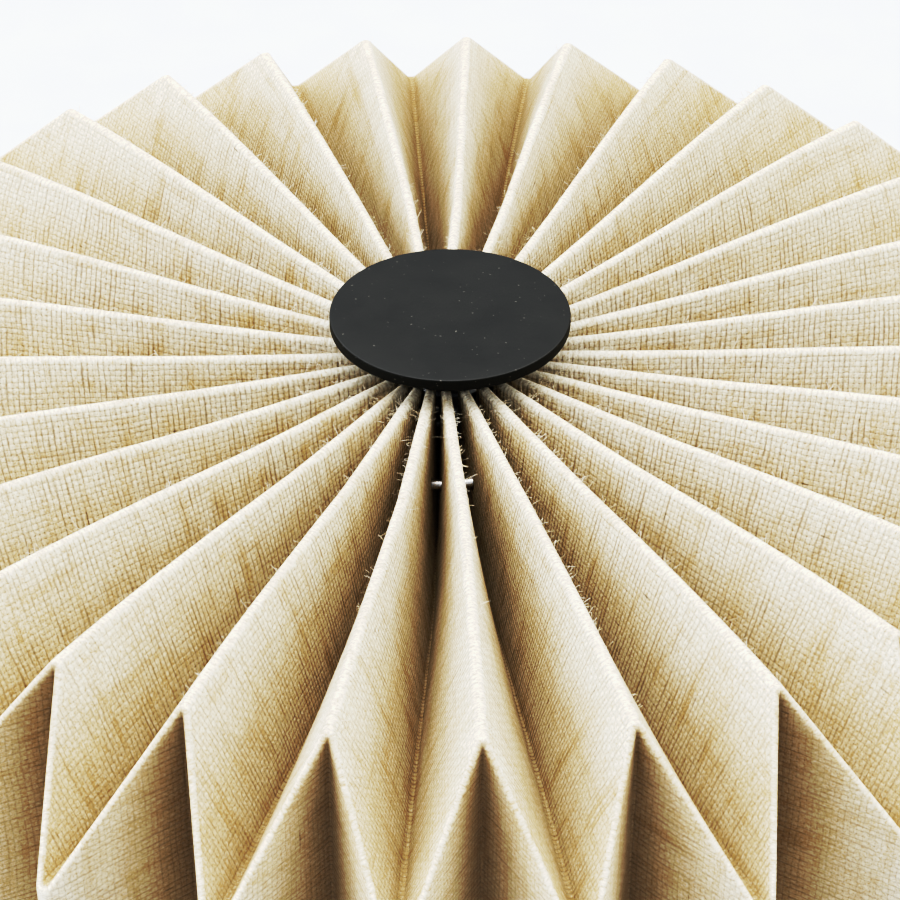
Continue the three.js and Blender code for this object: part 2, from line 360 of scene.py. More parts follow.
def backing_material():
    """The stiff film that the linen is laminated to, with the weave just printing through."""
    n = Nodes("backing")
    uv, (across, along) = weave_coordinates(n)
    warp, weft = (n.math("SINE", n.times(axis, math.pi)) for axis in (across, along))
    print_through = n.times(warp, weft)
    cloud = n.noise(uv, 30, 4.0, 0.6)
    colour = n.mix(n.ramp(cloud, 0.3, 0.75), (0.84, 0.80, 0.70, 1), (0.76, 0.70, 0.57, 1))
    colour = n.mix(n.ramp(print_through, -1, 1, 0.0, 0.18), colour, (0.60, 0.51, 0.36, 1))
    n.surface({
        "Base Color": colour,
        "Roughness": n.ramp(cloud, 0.2, 0.8, 0.38, 0.52),
        "Normal": n.bump(print_through, 0.05 * MM, 0.5),
    })
    return n.owner


def black_coat_material(name, gloss):
    """Black lacquer: faint clouds, dust specks and a slightly uneven skin."""
    n = Nodes(name)
    place = n.place()
    cloud = n.noise(place, 90, 4.0, 0.6)
    speck = n.ramp(n.noise(place, 1500, 1.0, 0.5), 0.735, 0.77)
    colour = n.mix(cloud, (0.007, 0.0072, 0.006, 1), (0.011, 0.0112, 0.0095, 1))
    colour = n.mix(n.times(speck, 0.3), colour, (0.30, 0.28, 0.24, 1))
    n.surface({
        "Base Color": colour,
        "Roughness": n.ramp(cloud, 0.3, 0.7, 0.50, 0.64),
        "Normal": n.bump(n.noise(place, 2200, 3.0), 0.02 * MM, 0.6),
        "Specular IOR Level": gloss,
    })
    return n.owner


def felt_material():
    n = Nodes("black_felt")
    place = n.place()
    fibre = n.noise(place, 1900, 5.0, 0.75, 1.5)
    tuft = n.noise(place, 420, 3.0, 0.6)
    colour = n.mix(n.ramp(fibre, 0.3, 0.8), (0.006, 0.006, 0.006, 1), (0.035, 0.034, 0.031, 1))
    n.surface({
        "Base Color": colour,
        "Normal": n.bump(n.plus(fibre, tuft), 0.25 * MM, 1.0),
        "Roughness": 0.97,
        "Specular IOR Level": 0.1,
    })
    return n.owner


def metal_material(name, light, dark, rough, grain, marks):
    """Plated or drawn metal: cloudy tarnish, fine grain and a few darker marks."""
    n = Nodes(name)
    place = n.place()
    cloud = n.noise(place, 160, 4.0, 0.65)
    fine = n.noise(place, grain, 3.0, 0.6)
    colour = n.mix(n.ramp(cloud, 0.35, 0.75), light, dark)
    spots = n.ramp(n.noise(place, 700, 2.0), 0.62, 0.72, 0.0, marks)
    colour = n.mix(spots, colour, (0.12, 0.10, 0.08, 1))
    n.surface({
        "Base Color": colour,
        "Roughness": n.ramp(fine, 0.3, 0.7, rough, rough + 0.14),
        "Normal": n.bump(fine, 0.01 * MM, 0.5),
        "Metallic": 1.0,
    })
    return n.owner


def white_coat_material():
    """Powder coat: an orange-peel skin that thins and yellows a little."""
    n = Nodes("white_coat")
    place = n.place()
    peel = n.noise(place, 900, 2.0, 0.5)
    dust = n.noise(place, 120, 4.0, 0.65)
    colour = n.mix(n.ramp(dust, 0.35, 0.8), (0.78, 0.775, 0.745, 1), (0.66, 0.64, 0.58, 1))
    n.surface({
        "Base Color": colour,
        "Roughness": n.ramp(dust, 0.3, 0.7, 0.34, 0.50),
        "Normal": n.bump(peel, 0.05 * MM, 0.6),
    })
    return n.owner


def tape_material():
    """Cotton tape in a herringbone twill."""
    n = Nodes("cotton_tape")
    uv = n.add("ShaderNodeUVMap", uv_map="cloth").outputs[0]
    split = n.add("ShaderNodeSeparateXYZ")
    n.link(uv, split.inputs[0])
    across, along = split.outputs[0], split.outputs[1]
    zigzag = n.math("PINGPONG", across, 1.6 * MM)
    rib = n.math("SINE", n.times(n.plus(along, zigzag), 2 * math.pi / (0.6 * MM)))
    weave = n.plus(n.times(rib, 0.5), n.noise(uv, 2600, 3.0))
    colour = n.mix(n.ramp(weave, 0.0, 1.0), (0.46, 0.38, 0.24, 1), (0.74, 0.67, 0.51, 1))
    colour = n.mix(n.ramp(n.noise(uv, 120, 3.0), 0.4, 0.8, 0.0, 0.3), colour, (0.50, 0.40, 0.26, 1))
    n.surface({
        "Base Color": colour,
        "Normal": n.bump(weave, 0.1 * MM, 0.8),
        "Roughness": 0.92,
        "Specular IOR Level": 0.15,
    })
    return n.owner


def fuzz_material():
    """Loose flax fibres, from nearly white to straw."""
    n = Nodes("flax_fibre")
    tone = n.noise(n.place(), 260, 2.0)
    colour = n.mix(n.ramp(tone, 0.35, 0.65), (0.86, 0.82, 0.72, 1), (0.66, 0.54, 0.35, 1))
    n.surface({
        "Base Color": colour,
        "Roughness": 0.8,
    })
    return n.owner


# ---------- the pleated strip


def ridge_azimuth(i):
    even = i * 360 / PLEATS
    angle = even
    for waves, size, phase in DRIFT:
        angle += size * math.cos(math.radians(waves * even - phase))
    return math.radians(angle)


def crest_height(radius):
    t = np.minimum(radius, R_SHOULDER) / CREST_UNIT - 1
    c0, c1, c2, c3 = CREST_CURVE
    return HEIGHT + CREST_UNIT * (c0 + t * (c1 + t * (c2 + t * c3)))


def valley_height(radius):
    half_pitch = 2 * radius * math.sin(math.pi / PLEATS / 2)
    return crest_height(radius) - np.sqrt(PANEL_WIDTH**2 - half_pitch**2)


def on_circle(radius, azimuth, z):
    """Points on a fold. The cloth has settled, but not at the hem, nor in front next to the cap, and the
    front and back folds are pulled aside where they reach the cap."""
    radius, z, azimuth = np.broadcast_arrays(radius, z, azimuth)
    near = np.clip((GATHER_REACH - radius) / (GATHER_REACH - R_CAP), 0, UNDER_CAP)
    aside = near * GATHER_OFFSET * np.clip(np.cos(2 * azimuth), 0, 1) ** 2
    front = np.clip(np.cos(azimuth), 0, 1)
    held_up = np.clip(near, 0, 1) * (HELD_ALL_ROUND + (1 - HELD_ALL_ROUND) * front)
    z = z - SETTLED * (1 - held_up) * np.clip(z / R_SHOULDER, 0, 1)
    return np.stack([radius * np.sin(azimuth) + aside, -radius * np.cos(azimuth), z], axis=-1)


TOP_ROWS = 42
WALL_ROWS = 22
CREASE_ROWS = 5
CREASE_ROUND = 0.8 * MM
ARC_STEPS = 3
FLAT_STEPS = 4
TIGHT_FOLD = 0.45 * MM  # the folds' radii: at the cap
OPEN_RIDGE = 0.6 * MM  # and on the wall
OPEN_VALLEY = 1.1 * MM


def fold_line(azimuth, is_ridge):
    """The points of one fold on the sheet's middle, before and after the shoulder crease."""
    reach, height = (R_SHOULDER, crest_height) if is_ridge else (R_WALL, valley_height)
    s = np.linspace(0, 1, TOP_ROWS)
    radius = R_INNER_EDGE + s * (reach - R_INNER_EDGE)
    top = on_circle(radius, azimuth, height(radius))
    q = np.linspace(0, 1, WALL_ROWS)
    wall = on_circle(np.full(WALL_ROWS, reach), azimuth, top[-1, 2] * (1 - q))
    return top, wall


def folded_panel(ridge, valley, ridge_round, valley_round):
    """Points across one panel, row by row: an arc at the ridge, a flat, and an arc at the valley.
    ridge and valley are rows of points, and both arcs are tangent to the level direction."""
    across = valley - ridge
    level = across.copy()
    level[:, 2] = 0
    outward = ridge.copy()
    outward[:, 2] = 0
    outward /= np.linalg.norm(outward, axis=1)[:, None]
    level -= outward * (level * outward).sum(1)[:, None]
    level /= np.linalg.norm(level, axis=1)[:, None]
    pitch = (across * level).sum(1)
    deep = across - level * pitch[:, None]
    depth = np.linalg.norm(deep, axis=1)
    deep /= depth[:, None]
    both = ridge_round + valley_round
    straight = np.sqrt(pitch**2 + (depth - both) ** 2 - both**2)
    turn = np.arctan2(depth - both, pitch) + np.arctan2(both, straight)
    xs, ys = [], []
    for k in range(ARC_STEPS + 1):
        angle = turn * k / ARC_STEPS
        xs.append(ridge_round * np.sin(angle))
        ys.append(ridge_round * (1 - np.cos(angle)))
    x0, y0 = xs[-1], ys[-1]
    for k in range(1, FLAT_STEPS + 1):
        xs.append(x0 + straight * np.cos(turn) * k / FLAT_STEPS)
        ys.append(y0 + straight * np.sin(turn) * k / FLAT_STEPS)
    for k in range(1, ARC_STEPS + 1):
        angle = turn * (1 - k / ARC_STEPS)
        xs.append(pitch - valley_round * np.sin(angle))
        ys.append(depth - valley_round * (1 - np.cos(angle)))
    points = [ridge + level * x[:, None] + deep * y[:, None] for x, y in zip(xs, ys)]
    return np.stack(points)  # column, row, xyz


def rounded_rows(top, wall):
    """Joins the rows before and after the crease with a small round, column by column."""
    crease = top[:, -1]
    before = crease - top[:, -2]
    before /= np.linalg.norm(before, axis=1)[:, None]
    after = wall[:, 1] - crease
    after /= np.linalg.norm(after, axis=1)[:, None]
    start, end = crease - before * CREASE_ROUND, crease + after * CREASE_ROUND
    bend = []
    for k in range(CREASE_ROWS + 1):
        t = k / CREASE_ROWS
        bend.append((1 - t) ** 2 * start + 2 * t * (1 - t) * crease + t**2 * end)
    return np.concatenate([top[:, :-1], np.stack(bend, axis=1), wall[:, 1:]], axis=1)


def pleat_grid():
    """The middle surface of the whole strip as columns of points, with the cloth's coordinates."""
    s = np.linspace(0, 1, TOP_ROWS)
    open_up = s**1.2
    rounds = [
        [TIGHT_FOLD + (opened - TIGHT_FOLD) * open_up for opened in (OPEN_RIDGE, OPEN_VALLEY)],
        [np.full(WALL_ROWS, opened) for opened in (OPEN_RIDGE, OPEN_VALLEY)],
    ]
    columns, reaches = [], []
    for i in range(PLEATS):
        ridge, following = ridge_azimuth(i), ridge_azimuth(i + 1)
        valley = (ridge + following) / 2
        lines = [fold_line(ridge, True), fold_line(valley, False), fold_line(following, True)]
        for a, b, flip in ((0, 1, False), (2, 1, True)):
            parts = [
                folded_panel(lines[a][zone], lines[b][zone], rounds[zone][0], rounds[zone][1])
                for zone in (0, 1)
            ]
            panel = rounded_rows(*parts)
            reach = fold_reach(panel)
            columns.append((panel[::-1] if flip else panel)[:-1])
            reaches.append((reach[::-1] if flip else reach)[:-1])
    return np.concatenate(columns), np.concatenate(reaches)


def fold_reach(panel):
    """How far each point lies, along the cloth, from the ridge fold, the valley fold and the crease."""
    steps = np.linalg.norm(np.diff(panel, axis=0), axis=2)
    from_ridge = np.concatenate([np.zeros((1, panel.shape[1])), np.cumsum(steps, axis=0)])
    down = np.linalg.norm(np.diff(panel, axis=1), axis=2)
    run = np.concatenate([np.zeros((len(panel), 1)), np.cumsum(down, axis=1)], axis=1)
    crease = run[:, TOP_ROWS - 1 + CREASE_ROWS // 2]
    return np.stack([from_ridge, from_ridge[-1] - from_ridge, run - crease[:, None]], axis=2)


def cloth_coordinates(grid):
    """How far each point lies along and across the flat strip."""
    closed = np.concatenate([grid, grid[:1]])
    along = np.linalg.norm(np.diff(grid, axis=1), axis=2)
    v = np.concatenate([np.zeros((len(grid), 1)), np.cumsum(along, axis=1)], axis=1)
    v = np.concatenate([v, v[:1]])
    # on the flat strip a column is straight, so its place across is the same in every row
    across = np.linalg.norm(np.diff(closed[:, -1], axis=0), axis=1)
    u = np.concatenate([[0], np.cumsum(across)])
    return np.broadcast_to(u[:, None], v.shape), v


def surface_normals(grid):
    ahead = np.roll(grid, -1, axis=0) - np.roll(grid, 1, axis=0)
    down = np.gradient(grid, axis=1)
    normal = np.cross(down, ahead)
    return normal / np.linalg.norm(normal, axis=2)[..., None]


def make_mesh(name, points, faces, materials, uvs=None, slots=None, smooth=True):
    mesh = bpy.data.meshes.new(name)
    mesh.from_pydata([tuple(p) for p in points], [], [tuple(int(k) for k in f) for f in faces])
    for material in materials:
        mesh.materials.append(material)
    if slots is not None:
        mesh.polygons.foreach_set("material_index", np.asarray(slots, dtype=np.int32))
    if uvs is not None:
        layer = mesh.uv_layers.new(name="cloth")
        layer.data.foreach_set("uv", np.asarray(uvs, dtype=np.float32).ravel())
    mesh.polygons.foreach_set("use_smooth", np.full(len(mesh.polygons), smooth))
    mesh.update()
    piece = bpy.data.objects.new(name, mesh)
    bpy.context.scene.collection.objects.link(piece)
    return piece


def make_pleats(linen, backing):
    grid, reach = pleat_grid()
    count, rows = grid.shape[:2]
    normals = surface_normals(grid)
    skins = [grid + normals * (SHEET / 2), grid - normals * (SHEET / 2)]
    points = np.concatenate([skin.reshape(-1, 3) for skin in skins])
    u, v = cloth_coordinates(grid)
    faces, uvs, slots = [], [], []
    below = count * rows

    def add(corners, base, slot):
        ids = [base[k] + (c % count) * rows + r for k, (c, r) in enumerate(corners)]
        faces.append(ids)
        uvs.extend((u[c, r], v[c, r]) for c, r in corners)
        slots.append(slot)

    for c in range(count):
        for r in range(rows - 1):
            quad = [(c, r), (c, r + 1), (c + 1, r + 1), (c + 1, r)]
            add(quad, (0, 0, 0, 0), 0)
            add(quad[::-1], (below,) * 4, 1)
        add([(c + 1, 0), (c, 0), (c, 0), (c + 1, 0)][::-1], (below, below, 0, 0), 0)
        last = rows - 1
        add([(c, last), (c + 1, last), (c + 1, last), (c, last)][::-1], (below, below, 0, 0), 0)
    piece = make_mesh("pleated_linen", points, faces, [linen, backing], uvs, slots)
    fold = piece.data.attributes.new("fold", "FLOAT_VECTOR", "POINT")
    fold.data.foreach_set("vector", np.concatenate([reach, reach]).astype(np.float32).ravel())
    return piece, u[-1, 0], v.max()


# ---------- turned, swept and threaded pieces


def rounded(outline, radius, steps=4):
    """A closed outline of (r, z) corners with every corner that is off the axis rounded."""
    points = []
    count = len(outline)
    for k, corner in enumerate(outline):
        corner = Vector(corner)
        before, after = Vector(outline[k - 1]) - corner, Vector(outline[(k + 1) % count]) - corner
        if corner.x < 1e-6:
            points.append(tuple(corner))
            continue
        reach = min(radius, before.length * 0.45, after.length * 0.45)
        start, end = corner + before.normalized() * reach, corner + after.normalized() * reach
        for j in range(steps + 1):
            t = j / steps
            points.append(tuple((1 - t) ** 2 * start + 2 * t * (1 - t) * corner + t * t * end))
    return points


def turned(name, outline, material, segments=96, shape=None):
    """Turns a closed outline of (r, z) points about +Z. shape(r, z, angle) may move each point.
    Where the outline ends on the axis, the two axis points close it instead of an inner wall."""
    solid = outline[0][0] < 1e-6
    points, faces = [], []
    for j in range(segments):
        angle = 2 * math.pi * j / segments
        for r, z in outline:
            if shape:
                r, z = shape(r, z, angle)
            points.append((r * math.cos(angle), r * math.sin(angle), z))
    rows = len(outline)
    for j in range(segments):
        here, there = j * rows, (j + 1) % segments * rows
        for k in range(rows - 1 if solid else rows):
            a, b = k, (k + 1) % rows
            quad = [here + a, there + a, there + b, here + b]
            if solid and a == 0:
                quad = [0, there + b, here + b]
            elif solid and b == rows - 1:
                quad = [here + a, there + a, rows - 1]
            faces.append(quad)
    return finish_mesh(name, points, faces, material)


SHARP_EDGE = math.radians(35)


def finish_mesh(name, points, faces, material):
    """Makes the piece with loose points dropped, faces outward, and sharp edges kept crisp."""
    piece = make_mesh(name, points, faces, [material])
    work = bmesh.new()
    work.from_mesh(piece.data)
    loose = [v for v in work.verts if not v.link_faces]
    bmesh.ops.delete(work, geom=loose, context="VERTS")
    bmesh.ops.recalc_face_normals(work, faces=work.faces)
    for edge in work.edges:
        edge.smooth = edge.calc_face_angle(0) < SHARP_EDGE
    work.to_mesh(piece.data)
    work.free()
    return piece


def tube_faces(rings, sides, capped=True):
    """The faces of a tube whose points come ring by ring."""
    faces = []
    for here in range(0, (rings - 1) * sides, sides):
        for j in range(sides):
            i = (j + 1) % sides
            faces.append([here + j, here + i, here + sides + i, here + sides + j])
    if capped:
        faces += [list(range(sides)), list(range((rings - 1) * sides, rings * sides))]
    return faces


def swept(path, radius, sides, domed=True):
    """Points and faces of a round wire along a list of points, with slightly domed or plain ends."""
    path = [Vector(p) for p in path]
    points = []
    up = Vector((0.01, 0.02, 1)).normalized()
    last = len(path) - 1
    stations = [(k, 0, 1) for k in range(last + 1)]
    if domed:
        stations = [(0, -0.35, 0.55), (0, -0.12, 0.9), *stations, (last, 0.12, 0.9), (last, 0.35, 0.55)]
    for k, beyond, scale in stations:
        along = (path[min(k + 1, last)] - path[max(k - 1, 0)]).normalized()
        side = along.cross(up)
        side = side.normalized() if side.length > 1e-3 else along.orthogonal().normalized()
        up = side.cross(along)
        centre = path[k] + along * beyond * radius
        for j in range(sides):
            angle = 2 * math.pi * j / sides
            points.append(centre + (side * math.cos(angle) + up * math.sin(angle)) * radius * scale)
    return [tuple(p) for p in points], tube_faces(len(stations), sides)


BEAD_RINGS = 10
BEAD_SIDES = 16


def weld_bead(centre, half, ripples, phase):
    """Points and faces of a long lump with a stacked-coin ripple, pointing away from the axis."""
    centre, (long, wide, high) = Vector(centre), half
    turn = Matrix.Rotation(math.atan2(centre.y, centre.x), 3, "Z")
    points = []
    for k in range(BEAD_RINGS + 1):
        theta = math.pi * k / BEAD_RINGS
        ring = math.sin(theta) * (1 + 0.10 * math.sin(ripples * theta + phase))
        for j in range(BEAD_SIDES):
            angle = 2 * math.pi * j / BEAD_SIDES
            offset = (long * math.cos(theta), wide * ring * math.cos(angle), high * ring * math.sin(angle))
            points.append(tuple(centre + turn @ Vector(offset)))
    return points, tube_faces(BEAD_RINGS + 1, BEAD_SIDES, capped=False)


def reface(piece, merge=0.0):
    """Merges the points that are closer than `merge`, and turns the faces outward."""
    work = bmesh.new()
    work.from_mesh(piece.data)
    if merge:
        bmesh.ops.remove_doubles(work, verts=work.verts, dist=merge)
    bmesh.ops.recalc_face_normals(work, faces=work.faces)
    work.to_mesh(piece.data)
    work.free()


def joined(name, parts, material):
    points, faces = [], []
    for some_points, some_faces in parts:
        base = len(points)
        points.extend(some_points)
        faces.extend([[base + k for k in face] for face in some_faces])
    piece = finish_mesh(name, points, faces, material)
    reface(piece, merge=0.0001 * MM)
    return piece


THREAD_PITCH = 1.0 * MM  # the cap rises this much for each turn, as its joints say
THREAD_DEPTH = 0.28 * MM
ROWS_A_TURN = 8


def thread_rows(radius, bottom, top):
    """The outline of a threaded stretch, with rows close enough for the thread's flanks."""
    count = round((top - bottom) / THREAD_PITCH * ROWS_A_TURN)
    return [(radius, bottom + (top - bottom) * k / count) for k in range(count + 1)]


def thread_shape(radius, bottom, top, depth):
    """Cuts a right-handed thread into points that lie at `radius`, fading out at both ends. A thread inside
    a bore has a negative depth."""
    def shape(r, z, angle):
        if abs(r - radius) > 1e-7 or not bottom <= z <= top:
            return r, z
        phase = (z / THREAD_PITCH - angle / (2 * math.pi)) % 1
        cut = 1 - abs(2 * phase - 1)
        fade = min(1, (z - bottom) / THREAD_PITCH, (top - z) / THREAD_PITCH)
        return r - depth * cut * fade, z
    return shape


def fit(piece, node, body):
    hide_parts(node)
    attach(piece, body)


def node_ring(node, hole):
    """The corners of a ring's outline: a node's outer radius and height, with the given hole."""
    low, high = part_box(node)
    outer = (high[0] - low[0]) / 2
    return [(hole, low[2]), (outer, low[2]), (outer, high[2]), (hole, high[2])]


def dense(outline, step):
    """Adds points to the long straight stretches of a closed outline."""
    points = []
    for k, corner in enumerate(outline):
        here, there = Vector(corner), Vector(outline[(k + 1) % len(outline)])
        count = max(1, math.ceil((there - here).length / step))
        points += [tuple(here.lerp(there, j / count)) for j in range(count)]
    return points


BORE = 3.0 * MM
NECK_HOLE = 4.3 * MM
FITTER_HOLE = 20.5 * MM


def felt_shape(r, z, angle):
    """Felt's cut edge swells and dips a little."""
    wobble = math.sin(9 * angle + 2.1) + math.sin(23 * angle) + math.sin(41 * angle + 0.7)
    return r - 0.05 * MM * (1.5 + wobble) * (r > 10 * MM), z


DISC_EDGE = 0.32 * MM
PAD_EDGE = 0.6 * MM
STUD_LEAD = 0.8 * MM
STUD_PLAIN = 3 * MM  # the stretch without thread next to the disc


def make_cap(black, black_edge, felt, steel):
    low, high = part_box("cap_disc")
    outline = [(0, low[2]), (R_CAP, low[2]), (R_CAP, high[2]), (0, high[2])]
    disc = turned("cap_disc_black", dense(rounded(outline, DISC_EDGE), 4 * MM), black, 160)
    disc.data.materials.append(black_edge)
    for face in disc.data.polygons:
        face.material_index = int(abs(face.normal.z) < 0.7)
    fit(disc, "cap_disc", "cap")

    pad = dense(rounded(node_ring("cap_pad", BORE), PAD_EDGE, 5), 1.5 * MM)
    pad = turned("cap_felt_pad", pad, felt, 120, felt_shape)
    fit(pad, "cap_pad", "pad")

    low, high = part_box("cap_stud")
    radius = (high[0] - low[0]) / 2
    start, stop = low[2] + STUD_LEAD, high[2] - STUD_PLAIN
    rows = [(0, low[2]), (radius - STUD_LEAD * 0.7, low[2]), *thread_rows(radius, start, stop)]
    rows += [(radius, high[2]), (0, high[2])]
    stud = turned("cap_threaded_stud", rows, steel, 48, thread_shape(radius, start, stop, THREAD_DEPTH))
    fit(stud, "cap_stud", "cap")


WIRE_STEPS = 240
WIRE_GAP = 0.3 * MM
WIRE_EXTRA = 0.22 * MM  # the photo shows the wire a little thicker than the CAD has it
WIRE_OVAL = 0.15 * MM
WIRE_TILT = 0.4 * MM
WIRE_WAVE = 0.25 * MM


def make_gather_ring(steel):
    """One bent wire whose two cut ends almost meet at the back. Its plane is not quite level."""
    gap = WIRE_GAP / R_RING
    path = []
    for k in range(WIRE_STEPS + 1):
        angle = math.pi / 2 + gap + (2 * math.pi - 2 * gap) * k / WIRE_STEPS
        radius = R_RING + WIRE_OVAL * math.sin(2 * angle + 0.6)
        rise = WIRE_TILT * math.cos(angle) + WIRE_WAVE * math.cos(5 * angle) - SETTLED
        path.append((radius * math.cos(angle), radius * math.sin(angle), RING_Z + rise))
    wire = swept(path, WIRE_R + WIRE_EXTRA, 20)
    fit(joined("gather_wire", [wire], steel), "gather_ring", "shade")


NECK = 4 * MM
NECK_END = 1 * MM  # the thread stops this far under the plate
CHAMFER = 0.5 * MM
GROOVES = (9 * MM, 6 * MM, 3 * MM)  # how far below the top each groove starts
GROOVE_SHAPE = ((0, 0), (0.4 * MM, 0.4 * MM), (0.4 * MM, 1.0 * MM), (0, 1.4 * MM))


def make_bush(zinc):
    """The hub's bush: a head with turned grooves for the fingers, a threaded neck and a threaded bore."""
    low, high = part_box("hub_sleeve")
    plate_low, plate_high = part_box("hub_plate")
    outer, seat = (high[0] - low[0]) / 2, plate_high[2] + 0.3 * MM
    start, stop, neck_stop = low[2] + CHAMFER, high[2] - CHAMFER, plate_low[2] - NECK_END
    rows = [(NECK - CHAMFER, low[2]), *thread_rows(NECK, start, neck_stop), (NECK, seat)]
    rows += [(outer - CHAMFER, seat), (outer, seat + CHAMFER)]
    for below in GROOVES:
        rows += [(outer - deep, high[2] - below + up) for deep, up in GROOVE_SHAPE]
    rows += [(outer, stop), (outer - CHAMFER, high[2]), (BORE + CHAMFER / 2, high[2])]
    rows += [*thread_rows(BORE, start, stop)[::-1], (BORE + CHAMFER / 2, low[2])]
    outside = thread_shape(NECK, start, neck_stop, THREAD_DEPTH)
    inside = thread_shape(BORE, start, stop, -THREAD_DEPTH)
    bush = turned("hub_bush", rows, zinc, 48, lambda r, z, a: inside(*outside(r, z, a), a))
    fit(bush, "hub_sleeve", "shade")


WASHER_STEPS = 96
WASHER_GAP = 0.12  # radians
WASHER_SPRING = 0.08 * MM


def make_washer(zinc):
    """The split washer, whose two ends stand apart."""
    section = rounded(node_ring("lock_washer", NECK_HOLE), 0.2 * MM, 3)
    points = []
    for j in range(WASHER_STEPS + 1):
        share = j / WASHER_STEPS
        angle = WASHER_GAP / 2 + (2 * math.pi - WASHER_GAP) * share
        spring = WASHER_SPRING * (share - 0.5)
        points += [(r * math.cos(angle), r * math.sin(angle), z + spring) for r, z in section]
    part = (points, tube_faces(WASHER_STEPS + 1, len(section)))
    fit(joined("hub_spring_washer", [part], zinc), "lock_washer", "shade")


NUT_LEAD = 0.4 * MM
NUT_FACE = 0.95  # where its flat faces end, as a share of half its width
NUT_CHAMFER = math.radians(28)
HALF_SIDE = math.radians(30)


def make_nut(zinc):
    low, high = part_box("hub_nut")
    flat = (high[1] - low[1]) / 2
    middle = (high[2] + low[2]) / 2

    def hexagon(r, z, angle):
        """Stretches a round outline to a hexagon whose corners are chamfered top and bottom."""
        if r < flat * 0.99:
            return r, z
        turn = (angle + HALF_SIDE) % (2 * HALF_SIDE) - HALF_SIDE
        corner = flat / math.cos(HALF_SIDE - abs(turn))
        drop = (corner - flat) * math.tan(NUT_CHAMFER)
        return corner, z - math.copysign(min(drop, abs(z - middle)), z - middle)

    start, stop = low[2] + NUT_LEAD, high[2] - NUT_LEAD
    rows = [(NECK_HOLE + NUT_LEAD, low[2]), (flat * NUT_FACE, low[2]), (flat, low[2])]
    rows += [(flat, middle - 1 * MM), (flat, middle + 1 * MM)]
    rows += [(flat, high[2]), (flat * NUT_FACE, high[2]), (NECK_HOLE + NUT_LEAD, high[2])]
    rows += thread_rows(NECK_HOLE, start, stop)[::-1]
    inside = thread_shape(NECK_HOLE, start, stop, -THREAD_DEPTH / 2)
    nut = turned("hub_hex_nut", rows, zinc, 96, lambda r, z, a: inside(*hexagon(r, z, a), a))
    fit(nut, "hub_nut", "shade")


def make_hub(zinc, white):
    make_bush(zinc)
    plate = dense(rounded(node_ring("hub_plate", NECK_HOLE), 0.6 * MM), 5 * MM)
    fit(turned("hub_plate_white", plate, white, 128), "hub_plate", "shade")
    make_washer(zinc)
    make_nut(zinc)


ARM_R = 1.5 * MM
ARM_CLEAR = 0.3 * MM
ARM_BOW = 41 * MM  # how far out an arm runs
ARM_UNDER_PLATE = (14 * MM, 20 * MM, 27 * MM)
ARM_OVER_RING = (28 * MM, 25 * MM, 22 * MM)
HIGH_BEND = 15 * MM
LOW_BEND = 18 * MM
BEND_STEPS = 16
STRAIGHT_STEPS = 8
FIRST_ARM = math.radians(30)


def arm_path(top, bottom, angle):
    """Along the middle of one arm: out under the plate, down, and in over the fitter ring."""
    def bend(a, b, c):
        shares = [k / BEND_STEPS for k in range(1, BEND_STEPS + 1)]
        return [a.lerp(b, t).lerp(b.lerp(c, t), t) for t in shares]

    path = [Vector((r, 0, top)) for r in ARM_UNDER_PLATE]
    inner = [Vector((r, 0, bottom)) for r in ARM_OVER_RING]
    shoulder, elbow = Vector((ARM_BOW, 0, top - HIGH_BEND)), Vector((ARM_BOW, 0, bottom + LOW_BEND))
    path += bend(path[-1], Vector((ARM_BOW, 0, top)), shoulder)
    path += [shoulder.lerp(elbow, k / STRAIGHT_STEPS) for k in range(1, STRAIGHT_STEPS + 1)]
    path += bend(elbow, Vector((ARM_BOW, 0, bottom)), inner[0]) + inner[1:]
    turn = Matrix.Rotation(angle, 3, "Z")
    return [turn @ p for p in path]


WELD_SINK = 0.75 * MM
PLATE_WELD = (20 * MM, (4.5 * MM, 0.95 * MM, 0.75 * MM), 17)  # its radius, half sizes and ripples
RING_WELD = (24 * MM, (2.4 * MM, 0.95 * MM, 0.75 * MM), 11)


def make_carrier(white):
    plate_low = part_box("hub_plate")[0][2]
    ring_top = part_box("fitter_ring")[1][2]
    top, bottom = plate_low - ARM_CLEAR - ARM_R, ring_top + ARM_CLEAR + ARM_R
    for k in range(3):
        angle = FIRST_ARM + k * 2 * math.pi / 3
        out = Vector((math.cos(angle), math.sin(angle), 0))
        beside = Vector((-out.y, out.x, 0)) * ARM_R * 0.9
        parts = [swept(arm_path(top, bottom, angle), ARM_R, 16)]
        for sign in (-1, 1):
            for (radius, half, ripples), z, phase in (
                (PLATE_WELD, plate_low - WELD_SINK, k + sign),
                (RING_WELD, ring_top + WELD_SINK, k - sign),
            ):
                centre = out * radius + beside * sign + Vector((0, 0, z))
                parts.append(weld_bead(centre, half, ripples, phase))
        node = f"arm_{k + 1}"
        fit(joined(f"carrier_{node}", parts, white), node, "shade")
    make_fitter_ring(white)


RIB_R = 23.7 * MM
RIB_WIDTH = 1.0 * MM
RIB_DEPTH = 0.25 * MM


def make_fitter_ring(white):
    """A flat ring, stiffened by a shallow rib pressed half-way across its face."""
    low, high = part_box("fitter_ring")

    def pressed(r, z, angle):
        rib = math.exp(-(((r - RIB_R) / RIB_WIDTH) ** 2))
        return r, z - RIB_DEPTH * rib * (z > (low[2] + high[2]) / 2)

    outline = dense(rounded(node_ring("fitter_ring", FITTER_HOLE), 0.7 * MM), 1.2 * MM)
    ring = turned("fitter_ring_white", outline, white, 144, pressed)
    fit(ring, "fitter_ring", "shade")


